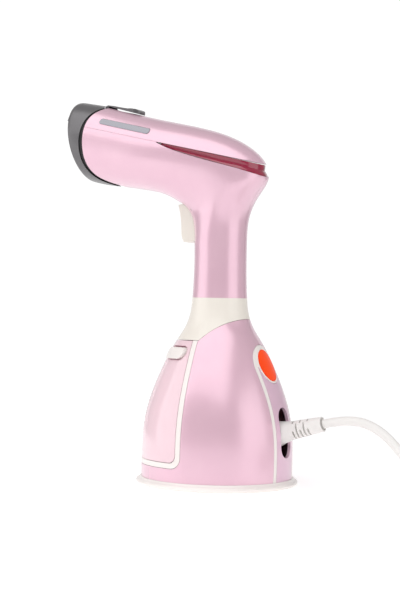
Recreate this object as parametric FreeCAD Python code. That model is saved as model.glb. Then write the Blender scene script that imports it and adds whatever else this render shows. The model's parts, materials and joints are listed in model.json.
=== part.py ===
import FreeCAD, Part
import math
import os

# Handheld garment steamer, in millimetres.
# Origin: centre of the flat underside of the base. +Z is up, the steam plate faces -Y,
# the mains lead leaves towards +Y, and the user's right-hand side of the case is -X.

# ---------------------------------------------------------------- driving dimensions
FOOT_RADIUS = 61.6          # widest point of the foot rim
FOOT_TOP = 5.5              # top of the foot, where the painted case starts
CASE_TOP = 141.0            # seam between collar and handle
WALL = 2.2                  # thickness of every moulded case wall
SEAM = 0.3                  # visible joint between neighbouring mouldings
SLIDE_GAP = 0.4             # clearance round pieces that move past each other

BAY_BACK = -6.0             # inner edge of the tank frame, seen from the side
BAY_FLOOR = 19.3            # inner bottom edge of the tank frame
FRAME_BACK = -2.0           # outer edge of the tank frame
FRAME_FLOOR = 15.5
TANK_TOP = 108.6
PORT_HEIGHT = 30.0          # height of the tank's outlet port
COLLAR_FRONT_EDGE = 109.2   # lower edge of the collar above the tank

BUTTON_TILT = 24.5          # lean of the case wall at the power button, degrees
BUTTON_CENTRE = (40.9, 91.0)
BUTTON_HALF = (11.0, 12.6)  # half width, half height of the oval button

SWIVEL_AXIS = (46.5, 39.5)  # cord swivel axis, parallel to X
SWIVEL_RADIUS = 9.8
SWIVEL_HALF_WIDTH = 7.9
RELIEF_PITCH = 14.0         # rest angle of the strain relief above the horizontal
RELIEF_END = 41.0           # distance from the swivel axis to the end of the strain relief
SLOT_HALF_WIDTH = 8.5
SLOT_BOTTOM = 22.3
SLOT_TOP = 60.0

HEAD_PITCH = 11.5           # direction of the steam head above the horizontal
FACE_CENTRE = (-121.0, 263.7)
FACE_TILT = 10.3            # the steam plate leans this far towards the floor

TRIGGER_PIVOT = (-19.0, 208.5)
TRIGGER_HALF_WIDTH = 7.0
LIP_HEIGHT = 2.7             # how far the raised upper lip stands out of the ring
TAB_PIN = (-99.0, 289.5)
TAB_HALF_WIDTH = 7.0

LATCH_ANGLE = 55.5          # bearing of each tank latch from the front
LATCH_HEIGHT = 99.3

CORD_DIAMETER = 7.0
COIL_CENTRE = (-10.3, 226.0)
COIL_MID_RADIUS = 36.8
COIL_HALF_WIDTH = 14.0
COIL_BOTTOM = 0.6
COIL_HEIGHT = 14.0

# Outline of the case from foot to handle, as (radius, height).
CASE_OUTLINE = [(56.9, -2.0), (57.6, 12.0), (57.7, 24.0), (56.9, 41.0), (51.4, 66.0), (42.0, 89.5),
                (32.5, 108.0), (26.3, 118.0), (22.7, 127.5), (20.9, 141.0), (20.3, 152.0)]

# Cross-sections of the handle and head, from the steam face down to the collar:
# front or belly point (y, z), rear or top point (y, z), half width, place of greatest width.
STATIONS = [
    ((-115.7, 234.6), (-126.3, 292.8), 28.0, 0.50),
    ((-114.4, 233.0), (-125.6, 294.4), 29.8, 0.50),
    ((-112.2, 231.9), (-123.8, 295.5), 30.7, 0.50),
    ((-109.4, 231.2), (-119.1, 295.0), 30.8, 0.50),
    ((-103.3, 229.9), (-108.0, 293.0), 30.7, 0.50),
    ((-85.0, 227.5), (-79.0, 285.6), 30.5, 0.50),
    ((-66.4, 224.8), (-54.0, 279.4), 30.5, 0.50),
    ((-52.8, 222.3), (-30.0, 274.2), 30.2, 0.53),
    ((-43.0, 218.8), (-6.5, 268.4), 29.6, 0.57),
    ((-35.0, 214.6), (12.0, 261.4), 28.5, 0.61),
    ((-29.2, 210.7), (26.0, 252.8), 26.8, 0.62),
    ((-25.2, 206.2), (35.0, 243.0), 24.8, 0.60),
    ((-22.8, 201.3), (37.2, 233.2), 23.0, 0.57),
    ((-21.2, 195.5), (31.5, 223.3), 21.6, 0.54),
    ((-20.3, 188.5), (24.8, 212.3), 20.6, 0.52),
    ((-20.0, 180.0), (21.0, 200.0), 20.2, 0.50),
    ((-19.9, 171.0), (20.0, 184.0), 20.0, 0.50),
    ((-20.0, 162.0), (20.0, 167.0), 20.0, 0.50),
    ((-20.3, 152.0), (20.3, 152.0), 20.3, 0.50),
    ((-20.9, 141.0), (20.9, 141.0), 20.9, 0.50),
]

# Free stretch of the mains lead, from the strain relief to the coil, and its tail to the plug.
LEAD_ROUTE = [(0.0, 87.0, 49.6), (0.0, 107.4, 54.7), (2.0, 130.0, 49.0), (7.0, 149.0, 33.5),
              (15.5, 166.0, 16.5), (26.0, 182.5, 6.6), (37.7, 198.3, 4.8)]
TAIL_ROUTE = [(-17.8, 281.5, 8.5), (-36.8, 279.0, 9.5), (-54.8, 272.0, 11.0), (-70.8, 258.5, 12.4),
              (-79.8, 240.0, 13.0)]
PLUG_START = (-79.8, 240.0, 13.0)


# ---------------------------------------------------------------- helpers
def vec(x, y, z):
    return FreeCAD.Vector(x, y, z)


X_AXIS = vec(1, 0, 0)
Y_AXIS = vec(0, 1, 0)
Z_AXIS = vec(0, 0, 1)


def side(point, x=0.0):
    """A (y, z) point of the side view, placed at the given x."""
    return vec(x, point[0], point[1])


def box(x0, x1, y0, y1, z0, z1):
    return Part.makeBox(x1 - x0, y1 - y0, z1 - z0, vec(x0, y0, z0))


def cylinder(radius, start, end):
    start = vec(*start)
    way = vec(*end) - start
    return Part.makeCylinder(radius, way.Length, start, way)


def ring(outer, inner, start, end):
    return cylinder(outer, start, end).cut(cylinder(inner, start, end))


def turned(outline):
    """Solid of revolution about Z from a closed (radius, z) outline."""
    points = [vec(r, 0, z) for r, z in outline]
    face = Part.Face(Part.makePolygon(points + points[:1]))
    return face.revolve(vec(0, 0, 0), Z_AXIS, 360)


def rounded_wire(points, radius):
    """Closed wire through coplanar corner points, with each corner rounded by the given radius."""
    edges = []
    count = len(points)
    starts, ends, middles = [], [], []
    for i, corner in enumerate(points):
        before = (points[i - 1] - corner).normalize()
        after = (points[(i + 1) % count] - corner).normalize()
        half = before.getAngle(after) / 2
        reach = radius / math.tan(half)
        inward = (before + after).normalize()
        starts.append(corner + before * reach)
        ends.append(corner + after * reach)
        middles.append(corner + inward * (radius / math.sin(half) - radius))
    for i in range(count):
        edges.append(Part.Arc(starts[i], middles[i], ends[i]).toShape())
        following = starts[(i + 1) % count]
        if (following - ends[i]).Length > 1e-6:
            edges.append(Part.LineSegment(ends[i], following).toShape())
    return Part.Wire(edges)


def rounded_box(x0, x1, y0, y1, z0, z1, radius):
    """Box with its four upright edges rounded."""
    corners = [vec(x0, y0, z0), vec(x1, y0, z0), vec(x1, y1, z0), vec(x0, y1, z0)]
    return Part.Face(rounded_wire(corners, radius)).extrude(Z_AXIS * (z1 - z0))


def side_prism(points, x0, x1, radius=0.0):
    """Prism along X over a (y, z) outline; its corners are rounded where a radius is given."""
    corners = [side(p, x0) for p in points]
    wire = rounded_wire(corners, radius) if radius else Part.makePolygon(corners + corners[:1])
    return Part.Face(wire).extrude(X_AXIS * (x1 - x0))


def curve_prism(curve_points, closing_points, x0, x1):
    """Prism along X whose outline is a smooth curve closed by straight lines."""
    return Part.Face(curve_wire(curve_points, closing_points, x0)).extrude(X_AXIS * (x1 - x0))


def curve_wire(curve_points, closing_points, x0=0.0):
    curve = Part.BSplineCurve()
    curve.interpolate([side(p, x0) for p in curve_points])
    corners = [side(p, x0) for p in [curve_points[-1]] + closing_points + [curve_points[0]]]
    lines = [Part.LineSegment(a, b).toShape() for a, b in zip(corners, corners[1:])]
    return Part.Wire([curve.toShape()] + lines)


def aligned(origin, way):
    """Placement whose local Z runs along way and whose local X stays level."""
    level = X_AXIS if abs(way.x) < 0.9 else Y_AXIS
    return FreeCAD.Placement(origin, FreeCAD.Rotation(level, vec(0, 0, 0), way, "ZXY"))


def oval(half_x, half_y, depth, centre, normal, up):
    """Elliptical cylinder that starts at centre and runs along normal."""
    normal = FreeCAD.Vector(normal).normalize()
    up = FreeCAD.Vector(up).normalize()
    across = up.cross(normal)
    major, minor = (up, across) if half_y >= half_x else (across, up)
    big, small = max(half_x, half_y), min(half_x, half_y)
    ellipse = Part.Ellipse(centre + major * big, centre + minor * small, centre)
    return Part.Face(Part.Wire(ellipse.toShape())).extrude(normal * depth)


def tube(points, radius, label=""):
    """Tube along straight runs joined by tangent arcs; prints its arc radii and checks its volume."""
    points = [vec(*p) for p in points]
    edges, radii = [], []
    length = 0.0
    last = points[0]
    for before, corner, after in zip(points, points[1:], points[2:]):
        back = before - corner
        ahead = after - corner
        shorter = min(back.Length, ahead.Length)
        back.normalize()
        ahead.normalize()
        half_turn = (math.pi - back.getAngle(ahead)) / 2
        reach = 0.45 * shorter
        bend = reach / math.tan(half_turn)
        centre_way = (back + ahead).normalize()
        middle = corner + centre_way * (bend / math.cos(half_turn) - bend)
        start, end = corner + back * reach, corner + ahead * reach
        edges.append(Part.LineSegment(last, start).toShape())
        edges.append(Part.Arc(start, middle, end).toShape())
        length += (start - last).Length + 2 * half_turn * bend
        radii.append(bend)
        last = end
    edges.append(Part.LineSegment(last, points[-1]).toShape())
    length += (points[-1] - last).Length
    section = Part.Wire(Part.makeCircle(radius, points[0], points[1] - points[0]))
    solid = Part.Wire(edges).makePipeShell([section], True, True)
    expected = math.pi * radius ** 2 * length
    if label:
        print(label, "length", round(length, 1), "arc radii", [round(r, 1) for r in radii],
              "volume ratio", round(solid.Volume / expected, 4))
    return solid


def coil_spring(centre, axis, radius, height, turns, wire):
    """Compression spring standing on centre, along axis."""
    helix = Part.makeHelix(height / turns, height, radius)
    section = Part.Wire(Part.makeCircle(wire, vec(radius, 0, 0), Y_AXIS))
    spring = Part.Wire(helix.Edges).makePipeShell([section], True, True)
    spring.Placement = FreeCAD.Placement(centre, FreeCAD.Rotation(Z_AXIS, FreeCAD.Vector(axis)))
    return spring


def at_bearing(radius, degrees, z):
    """Point at a bearing measured from the front (-Y) towards +X."""
    angle = math.radians(degrees)
    return vec(radius * math.sin(angle), -radius * math.cos(angle), z)


def screw(start, end, head_radius, shaft_radius, head_height):
    """Cross-head screw with its pan head at start and its shaft up to end."""
    way = (vec(*end) - vec(*start)).normalize()
    neck = vec(*start) + way * head_height
    head = cylinder(head_radius, start, tuple(neck))
    shaft = cylinder(shaft_radius, tuple(neck), end)
    slots = [Part.makeBox(a, b, 0.8, vec(-a / 2, -b / 2, 0))
             for a, b in ((0.8, head_radius * 1.2), (head_radius * 1.2, 0.8))]
    cross = slots[0].fuse(slots[1])
    cross.Placement = aligned(vec(*start), way)
    return head.fuse(shaft).removeSplitter().cut(cross)


def group(shapes):
    return Part.makeCompound(shapes)


NODES = {}


def add(name, shape):
    """Keep one sub-part under its node name, and check that it is made of closed solids."""
    solids = [s for s in shape.Solids if s.Volume > 0.05]
    assert solids and all(s.isValid() and s.isClosed() for s in solids), name
    NODES[name] = solids[0] if len(solids) == 1 else Part.makeCompound(solids)


# ---------------------------------------------------------------- case surfaces
def case_curve(inset):
    curve = Part.BSplineCurve()
    curve.interpolate([vec(r, 0, z) for r, z in CASE_OUTLINE])
    if not inset:
        return curve
    steps = 26
    moved = []
    for i in range(steps + 1):
        at = curve.FirstParameter + (curve.LastParameter - curve.FirstParameter) * i / steps
        tangent = curve.tangent(at)[0]
        moved.append(curve.value(at) + vec(-tangent.z, 0, tangent.x) * inset)
    inner = Part.BSplineCurve()
    inner.interpolate(moved)
    return inner


def case_solid(inset, z0, z1):
    """Solid body of the bell-shaped case, inset by a wall thickness, between two heights."""
    curve = case_curve(inset)
    low, high = curve.StartPoint, curve.EndPoint
    lines = [Part.LineSegment(high, vec(0, 0, high.z)).toShape(),
             Part.LineSegment(vec(0, 0, high.z), vec(0, 0, low.z)).toShape(),
             Part.LineSegment(vec(0, 0, low.z), low).toShape()]
    body = Part.Face(Part.Wire([curve.toShape()] + lines)).revolve(vec(0, 0, 0), Z_AXIS, 360)
    return body.common(box(-80, 80, -80, 80, z0, z1))


def station_curve(station, inset):
    """Closed egg-shaped section of the handle and head."""
    front, rear, half_width, widest = station
    front, rear = side(front), side(rear)
    across = (rear - front).normalize()
    front = front + across * inset
    rear = rear - across * inset
    half_width = half_width - inset
    middle = front + (rear - front) * widest
    reach_front = (middle - front).Length
    reach_rear = (rear - middle).Length
    points = []
    count = 16
    for i in range(count):
        angle = 2 * math.pi * i / count
        reach = reach_rear if math.cos(angle) > 0 else reach_front
        points.append(middle + across * (reach * math.cos(angle)) + X_AXIS * (half_width * math.sin(angle)))
    curve = Part.BSplineCurve()
    curve.interpolate(Points=points, PeriodicFlag=True, Parameters=[float(i) for i in range(count + 1)])
    return curve


def head_solid(inset):
    """Solid body of the handle and head, inset by a wall thickness: one smooth skin through its sections."""
    curves = [station_curve(s, inset) for s in STATIONS]
    centres = [(side(s[0]) + side(s[1])) / 2 for s in STATIONS]
    along = [0.0]
    for a, b in zip(centres, centres[1:]):
        along.append(along[-1] + (b - a).Length)
    rows = []
    for i in range(curves[0].NbPoles):
        row = Part.BSplineCurve()
        row.interpolate(Points=[c.getPole(i + 1) for c in curves], Parameters=along)
        rows.append(row)
    skin = Part.BSplineSurface()
    skin.buildFromPolesMultsKnots([r.getPoles() for r in rows], curves[0].getMultiplicities(),
                                  rows[0].getMultiplicities(), curves[0].getKnots(), rows[0].getKnots(),
                                  True, False, curves[0].Degree, rows[0].Degree)
    faces = [skin.toShape()] + [Part.Face(Part.Wire(c.toShape())) for c in (curves[0], curves[-1])]
    shell = Part.Shell(faces)
    shell.sewShape()
    body = Part.Solid(shell)
    if body.Volume < 0:
        body.reverse()
    return body


def face_slab(depth0, depth1):
    """Slab parallel to the steam face, between two depths behind its plane."""
    tilt = math.radians(FACE_TILT)
    inward = vec(0, math.cos(tilt), math.sin(tilt))
    slab = Part.makeBox(140, 140, depth1 - depth0, vec(-70, -70, 0))
    slab.Placement = aligned(side(FACE_CENTRE) + inward * depth0, inward)
    return slab


def face_point(x, up_by, depth):
    """Point given across the steam face, up it, and behind it."""
    tilt = math.radians(FACE_TILT)
    outward = vec(0, -math.cos(tilt), -math.sin(tilt))
    up = vec(0, -math.sin(tilt), math.cos(tilt))
    return side(FACE_CENTRE) + vec(x, 0, 0) + up * up_by - outward * depth


def face_section(inset, depth):
    """Outline of the steam face, inset and moved behind its plane by a depth."""
    curve = station_curve(STATIONS[0], inset)
    curve.translate(face_point(0, 0, depth) - face_point(0, 0, 0))
    return Part.Wire(curve.toShape())


def side_spline_front():
    """Rear edge of the attachment ring in the side view, from the top of the head to the belly."""
    return [(-91.0, 297.0), (-97.4, 290.8), (-104.2, 284.5), (-109.2, 272.0), (-110.3, 256.0),
            (-108.7, 243.5), (-103.8, 235.0), (-94.4, 229.6), (-80.0, 225.0)]


def front_region(setback):
    """Everything in front of the ring's rear edge, grown rearwards by a setback."""
    edge = Part.BSplineCurve()
    edge.interpolate([side(p) for p in side_spline_front()])
    steps = 16
    moved = []
    for i in range(steps + 1):
        at = edge.FirstParameter + (edge.LastParameter - edge.FirstParameter) * i / steps
        tangent = edge.tangent(at)[0]
        swell = 0.8 + 1.4 * math.sin(math.pi * i / steps) ** 2
        point = edge.value(at) + vec(0, -tangent.z, tangent.y) * (setback * swell)
        moved.append((point.y, point.z))
    top, bottom = moved[0], moved[-1]
    closing = [(bottom[0], 200.0), (-150.0, 200.0), (-150.0, 320.0), (top[0], 320.0)]
    return curve_prism(moved, closing, -60.0, 60.0)


def parting_height(y):
    return 249.5 - 0.2173 * y


def upper_region(raise_by=0.0):
    """Everything above the joint between the top cover and the handle shells."""
    return side_prism([(-160, parting_height(-160) + raise_by), (60, parting_height(60) + raise_by),
                       (60, 330), (-160, 330)], -60, 60)


def stripe_region(grow=0.0):
    """Band under the joint that holds the accent stripe; it starts as a point and wraps the rear."""
    lower = [(-42.0, parting_height(-42.0) - 0.2 - grow), (-30.0, 253.2 - grow), (-14.0, 248.0 - grow),
             (6.0, 242.3 - grow), (24.0, 237.3 - grow), (42.0, 230.5 - grow)]
    return curve_prism(lower, [(42.0, parting_height(42.0)), (-42.0, parting_height(-42.0))], -60, 60)


def collar_region(drop=0.0):
    """Everything above the collar's lower edge, which climbs towards the rear."""
    first = side((-1.0, COLLAR_FRONT_EDGE - drop))
    middle = side((10.5, 119.3 - drop))
    last = side((26.0, 126.2 - drop))
    arc = Part.Arc(first, middle, last).toShape()
    corners = [last, side((30.0, 127.5 - drop)), side((30.0, 160.0)), side((-70.0, 160.0)),
               side((-70.0, COLLAR_FRONT_EDGE - drop)), first]
    lines = [Part.LineSegment(a, b).toShape() for a, b in zip(corners, corners[1:])]
    shape = Part.Face(Part.Wire([arc] + lines)).extrude(X_AXIS * 120)
    shape.translate(vec(-60, 0, 0))
    return shape


def bay_region(back, floor, radius):
    """Everything in front of the tank frame's edge line, which turns a rounded corner at the bottom."""
    return side_prism([(back, floor), (back, 320.0), (-200.0, 320.0), (-200.0, floor)], -90, 90, radius)


def rear_arch(half_width, top, grow=0.0):
    """Upright arch on the rear of the case: straight sides and an elliptical top."""
    spring_line = 88.0
    wide = half_width + grow
    high = top - spring_line + grow
    ellipse = Part.Ellipse(vec(0, 10, spring_line + high), vec(wide, 10, spring_line), vec(0, 10, spring_line))
    if wide > high:
        ellipse = Part.Ellipse(vec(wide, 10, spring_line), vec(0, 10, spring_line + high), vec(0, 10, spring_line))
    dome = Part.Face(Part.Wire(ellipse.toShape())).extrude(Y_AXIS * 60)
    return dome.fuse(box(-wide, wide, 10, 70, 0, spring_line)).removeSplitter()


def button_frame():
    tilt = math.radians(BUTTON_TILT)
    outward = vec(0, math.cos(tilt), math.sin(tilt))
    up = vec(0, -math.sin(tilt), math.cos(tilt))
    return side(BUTTON_CENTRE), outward, up


def button_oval(grow, depth_in, depth_out):
    """Elliptical body through the case wall at the power button."""
    centre, outward, up = button_frame()
    return oval(BUTTON_HALF[0] + grow, BUTTON_HALF[1] + grow, depth_in + depth_out,
                centre - outward * depth_in, outward, up)


def slot_body(grow, y0, y1):
    """Upright slot with round ends in the rear of the case."""
    half = SLOT_HALF_WIDTH + grow
    low, high = SLOT_BOTTOM + SLOT_HALF_WIDTH, SLOT_TOP - SLOT_HALF_WIDTH
    ends = [cylinder(half, (0, y0, z), (0, y1, z)) for z in (low, high)]
    return box(-half, half, y0, y1, low, high).fuse(ends).removeSplitter()


# ---------------------------------------------------------------- base
FLOOR_SCREWS = [(40.0, 33.0), (-40.0, 33.0), (44.0, -30.0), (-44.0, -30.0)]


def base_foot():
    plate = turned([(0, 0), (59.6, 0), (61.0, 0.8), (61.6, 2.2), (60.9, 3.4), (59.2, 4.3), (58.3, 5.5), (0, 5.5)])
    hollow = turned([(0, 3.0), (53.0, 3.0), (53.0, 6.0), (0, 6.0)])
    pads = [cylinder(6.0, (*at_bearing(50.5, a, -1)[0:2], -1), (*at_bearing(50.5, a, 1)[0:2], 1.6))
            for a in (0, 90, 180, 270)]
    holes = [cylinder(2.1, (x, y, -1), (x, y, 6)) for x, y in FLOOR_SCREWS]
    sinks = [cylinder(4.0, (x, y, -1), (x, y, 2.2)) for x, y in FLOOR_SCREWS]
    seats = [cylinder(5.5, (x, y, 2.9), (x, y, 5.5)) for x, y in FLOOR_SCREWS]
    foot = plate.cut(hollow).fuse(seats).removeSplitter()
    add("base_foot", foot.cut(group(pads)).cut(group(holes)).cut(group(sinks)))
    rubber = [cylinder(5.9, (*at_bearing(50.5, a, 0)[0:2], 0), (*at_bearing(50.5, a, 0)[0:2], 1.6))
              for a in (0, 90, 180, 270)]
    add("foot_pads", group(rubber))


def base_screws():
    screws = [screw((x, y, 0.5), (x, y, 13.5), 3.6, 1.6, 1.5) for x, y in FLOOR_SCREWS]
    add("base_screws", group(screws))


def case_panels():
    """Painted side panels, rear panel, white trims and collar, all cut from one bell-shaped wall."""
    outside = case_solid(0.0, FOOT_TOP, CASE_TOP)
    inside = case_solid(WALL, FOOT_TOP - 1, CASE_TOP + 1)
    wall = outside.cut(inside)
    bay = bay_region(FRAME_BACK, FRAME_FLOOR, 8.0)
    bay_wide = bay_region(FRAME_BACK + SEAM, FRAME_FLOOR - SEAM, 8.3)
    arch = rear_arch(17.0, 106.0)
    arch_wide = rear_arch(17.0, 106.0, SEAM)
    collar_top = collar_region()

    sides = wall.cut(collar_region(SEAM)).cut(bay_wide).cut(arch_wide)
    bosses = [ring(4.5, 1.65, (x, y, FOOT_TOP), (x, y, 13.8)) for x, y in FLOOR_SCREWS]
    ribs = [box(min(x, x * 1.26), max(x, x * 1.26), y - 1, y + 1, 5.7, 12.0).common(inside)
            .cut(cylinder(4.4, (x, y, 5), (x, y, 14))) for x, y in FLOOR_SCREWS]
    for name, x0, x1, sign in (("base_side_panel_left", 0.1, 80, 1), ("base_side_panel_right", -80, -0.1, -1)):
        half = sides.common(box(x0, x1, -80, 80, 0, 145))
        own = [i for i, (x, y) in enumerate(FLOOR_SCREWS) if x * sign > 0]
        parts = [bosses[i] for i in own] + [ribs[i] for i in own]
        add(name, half.fuse(parts).removeSplitter())

    hole = button_oval(0.35, 12, 12)
    ring_hole = button_oval(1.9, 12, 12)
    ring_wide = button_oval(1.9 + SEAM, 12, 12)
    panel_strip = box(-13.6, 13.6, 10, 70, FOOT_TOP, 90)
    trim_strip = box(-13.6 - SEAM, 13.6 + SEAM, 10, 70, FOOT_TOP, 90)
    rear_wall = wall.common(arch).cut(collar_region(SEAM))
    trim = rear_wall.cut(trim_strip.cut(ring_hole)).cut(hole)
    collar_lip = button_oval(2.4, 7.5, -2.0).common(inside).cut(hole)
    add("rear_trim", trim.fuse(collar_lip).removeSplitter())

    panel = rear_wall.common(panel_strip).cut(ring_wide)
    pocket_outer = slot_body(1.8, 33.0, 56.0).common(inside)
    pocket = slot_body(0.0, 34.8, 70.0)
    bearing_holes = cylinder(2.6, (-14, *SWIVEL_AXIS), (14, *SWIVEL_AXIS))
    cord_way = cylinder(6.0, (0, 30, 40), (0, 36, 40))
    panel = panel.fuse(pocket_outer).removeSplitter().cut(pocket).cut(bearing_holes).cut(cord_way)
    add("rear_panel", panel)

    frame = wall.common(bay).cut(bay_region(BAY_BACK, BAY_FLOOR, 5.5)).cut(collar_region(SEAM))
    back_wall = inside.common(box(-60, 60, BAY_BACK, BAY_BACK + 2, FRAME_FLOOR, COLLAR_FRONT_EDGE - SEAM))
    shelf = inside.common(box(-60, 60, -60, BAY_BACK + 1, FRAME_FLOOR + 1.8, BAY_FLOOR))
    valve_hole = cylinder(7.0, (0, -10, PORT_HEIGHT), (0, 0, PORT_HEIGHT))
    frame = frame.fuse([back_wall, shelf]).removeSplitter().cut(valve_hole)
    add("tank_frame", frame)

    cap = wall.common(collar_top)
    sleeve = ring(18.2, 16.4, (0, 0, 130.0), (0, 0, 152.0))
    web = ring(19.6, 17.0, (0, 0, 135.0), (0, 0, 138.0)).common(inside)
    add("collar", cap.fuse([sleeve, web]).removeSplitter())


def base_chassis():
    plate = cylinder(50.0, (0, 0, FOOT_TOP + 0.3), (0, 0, FOOT_TOP + 2.3))
    clear = [cylinder(5.6, (x, y, 0), (x, y, 20)) for x, y in FLOOR_SCREWS]
    plate = plate.cut(group(clear))
    deck = FOOT_TOP + 2.0
    cradle = ring(14.6, 12.9, (-22, 17, deck), (-22, 17, 13.0))
    rails = [box(20.6, 22.6, y0, y0 + 3, deck, 20.0) for y0 in (4, 30)]
    rails += [box(24.6, 26.6, y0, y0 + 3, deck, 20.0) for y0 in (4, 30)]
    add("base_chassis", plate.fuse([cradle] + rails).removeSplitter())


# ---------------------------------------------------------------- water tank
def latch_shape(half_long, half_high, depth_in, proud):
    """Pill-shaped body on the case surface, standing proud by a small amount."""
    reach = 80.0
    pill = [cylinder(half_high, (x, -reach, 0), (x, 0, 0)) for x in (half_high - half_long, half_long - half_high)]
    core = box(half_high - half_long, half_long - half_high, -reach, 0, -half_high, half_high)
    body = core.fuse(pill).removeSplitter()
    body.translate(vec(0, 0, LATCH_HEIGHT))
    body.rotate(vec(0, 0, 0), Z_AXIS, LATCH_ANGLE)
    outer = case_solid(-proud, LATCH_HEIGHT - 15, LATCH_HEIGHT + 15)
    inner = case_solid(depth_in, LATCH_HEIGHT - 16, LATCH_HEIGHT + 16)
    return body.common(outer).cut(inner)


def mirrored(shape):
    return shape.mirror(vec(0, 0, 0), X_AXIS)


def water_tank():
    outer = case_solid(0.0, BAY_FLOOR + SLIDE_GAP, TANK_TOP)
    shape = outer.common(bay_region(BAY_BACK - SLIDE_GAP, BAY_FLOOR + SLIDE_GAP, 5.5))
    cavity = case_solid(1.8, BAY_FLOOR + 2.4, TANK_TOP - 2.0)
    cavity = cavity.common(bay_region(BAY_BACK - 2.2, BAY_FLOOR + 2.4, 4.0))
    pocket = latch_shape(15.0, 7.2, 14.2, 2.0)
    shape = shape.cut(cavity.cut(pocket).cut(mirrored(pocket)))
    recess = latch_shape(13.0, 5.4, 7.5, 2.0)
    spring_bore = latch_shape(3.6, 3.5, 12.6, 2.0)
    cuts = [recess, mirrored(recess), spring_bore, mirrored(spring_bore)]
    cuts.append(cylinder(3.2, (0, -12, PORT_HEIGHT), (0, 0, PORT_HEIGHT)))
    cuts.append(cylinder(9.0, (0, -12, 74), (0, 0, 74)))
    for cut in cuts:
        shape = shape.cut(cut)
    add("water_tank", shape)


def tank_fittings():
    latch = latch_shape(11.6, 4.2, 3.6, 1.9)
    add("tank_latch_left", latch)
    add("tank_latch_right", mirrored(latch))
    springs = []
    for sign in (1, -1):
        start = at_bearing(25.4, sign * LATCH_ANGLE, LATCH_HEIGHT)
        way = at_bearing(1.0, sign * LATCH_ANGLE, 0)
        springs.append(coil_spring(start, way, 2.2, 6.4, 3, 0.4))
    add("latch_springs", group(springs))
    y = BAY_BACK - SLIDE_GAP
    nozzle = cylinder(4.0, (0, y - 1.9, PORT_HEIGHT), (0, 2.5, PORT_HEIGHT)).cut(cylinder(2.2, (0, y - 9, PORT_HEIGHT), (0, 4, PORT_HEIGHT)))
    flange = ring(5.6, 3.0, (0, y - 3.8, PORT_HEIGHT), (0, y - 2.4, PORT_HEIGHT))
    inner_neck = ring(3.1, 2.0, (0, y - 3.0, PORT_HEIGHT), (0, y, PORT_HEIGHT))
    add("tank_outlet_valve", nozzle.cut(cylinder(9, (0, y - 4, PORT_HEIGHT), (0, y, PORT_HEIGHT))).fuse([flange, inner_neck]))
    plug = cylinder(8.9, (0, y - 2.6, 74), (0, y - 0.2, 74)).fuse(cylinder(11.0, (0, y - 4.0, 74), (0, y - 2.3, 74)))
    add("tank_fill_plug", plug.cut(box(-1, 1, y - 1.2, y + 1, 68, 80)).removeSplitter())
    seal = ring(6.9, 4.1, (0, BAY_BACK + 0.2, PORT_HEIGHT), (0, -0.5, PORT_HEIGHT))
    add("tank_seal", seal)
    socket = ring(8.6, 4.9, (0, -0.4, PORT_HEIGHT), (0, 4.0, PORT_HEIGHT))
    socket = socket.fuse(ring(8.6, 2.0, (0, 3.8, PORT_HEIGHT), (0, 5.6, PORT_HEIGHT)))
    socket = socket.fuse(ring(8.6, 7.1, (0, BAY_BACK + 2.0, PORT_HEIGHT), (0, -0.3, PORT_HEIGHT)))
    barb = ring(2.9, 1.6, (0, 5.4, PORT_HEIGHT), (0, 11.0, PORT_HEIGHT))
    add("inlet_socket", socket.fuse(barb).removeSplitter())


# ---------------------------------------------------------------- inside the base
def pump_group():
    body = cylinder(12.0, (-22, 17, 14.0), (-22, 17, 46.0))
    coil_case = rounded_box(-34.5, -9.5, 4.5, 29.5, 26.0, 43.0, 3.0)
    outlet = cylinder(3.6, (-22, 17, 45.5), (-22, 17, 52.0)).fuse(cylinder(2.4, (-22, 17, 51.5), (-22, 17, 58.0)))
    inlet = cylinder(2.4, (-11, 17, 20), (-7.0, 17, 20))
    pump = body.fuse([coil_case, outlet, inlet]).removeSplitter()
    add("water_pump", pump)
    mounts = ring(12.8, 12.05, (-22, 17, 8.6), (-22, 17, 17.0)).fuse(cylinder(12.8, (-22, 17, 7.9), (-22, 17, 13.9)))
    add("pump_mount", mounts.removeSplitter())
    add("suction_hose", suction_hose_shape())


def suction_hose_shape():
    """Silicone hose from the tank socket to the pump inlet, slipped over both barbs."""
    outer = tube([(0, 7.0, PORT_HEIGHT), (0, 20.5, PORT_HEIGHT), (-2.5, 20.0, 20.5), (-10.0, 17.0, 20.0)], 3.4)
    barb = cylinder(3.0, (0, 5, PORT_HEIGHT), (0, 11.2, PORT_HEIGHT))
    nozzle = cylinder(2.45, (-12, 17, 20), (-6.9, 17, 20))
    pump = cylinder(12.05, (-22, 17, 10), (-22, 17, 46))
    return outer.cut(barb).cut(nozzle).cut(pump).cut(cylinder(12.85, (-22, 17, 7), (-22, 17, 22.1)))


RISER_ROUTE = [(-22, 17, 54.0), (-20, 15, 74.0), (-9.5, 7, 104.0), (-8.5, 5.5, 134.0), (-8.5, 5.0, 170.0),
               (-8.5, 3.0, 206.0), (-8.5, -6.0, 231.0), (-7.5, -25.0, 252.0), (-4.5, -45.0, 266.5),
               tuple(face_point(0.0, -5.0, 52.0)), tuple(face_point(0.0, -5.0, 31.1))]
WIRE_ROUTE = [(17.5, 20, 56.0), (15.0, 16, 76.0), (9.5, 7, 104.0), (8.5, 5.5, 134.0), (8.5, 5.0, 170.0),
              (8.5, 3.0, 206.0), (8.5, -6.0, 229.0), (9.5, -26.0, 247.0), (9.3, -45.0, 262.5),
              tuple(face_point(9.0, -4.2, 54.2)), tuple(face_point(9.0, -4.1, 34.2))]


def hoses_and_wires():
    riser = tube(RISER_ROUTE, 2.8, "riser hose").cut(cylinder(2.45, (-22, 17, 50), (-22, 17, 58.2)))
    riser = riser.cut(cylinder(3.7, (-22, 17, 50), (-22, 17, 52.1)))
    riser = riser.cut(away_from_face(2.25, *INLET, 26.0, 9.1))
    add("riser_hose", riser)
    add("wire_bundle", tube(WIRE_ROUTE, 2.4, "wire bundle"))


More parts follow.
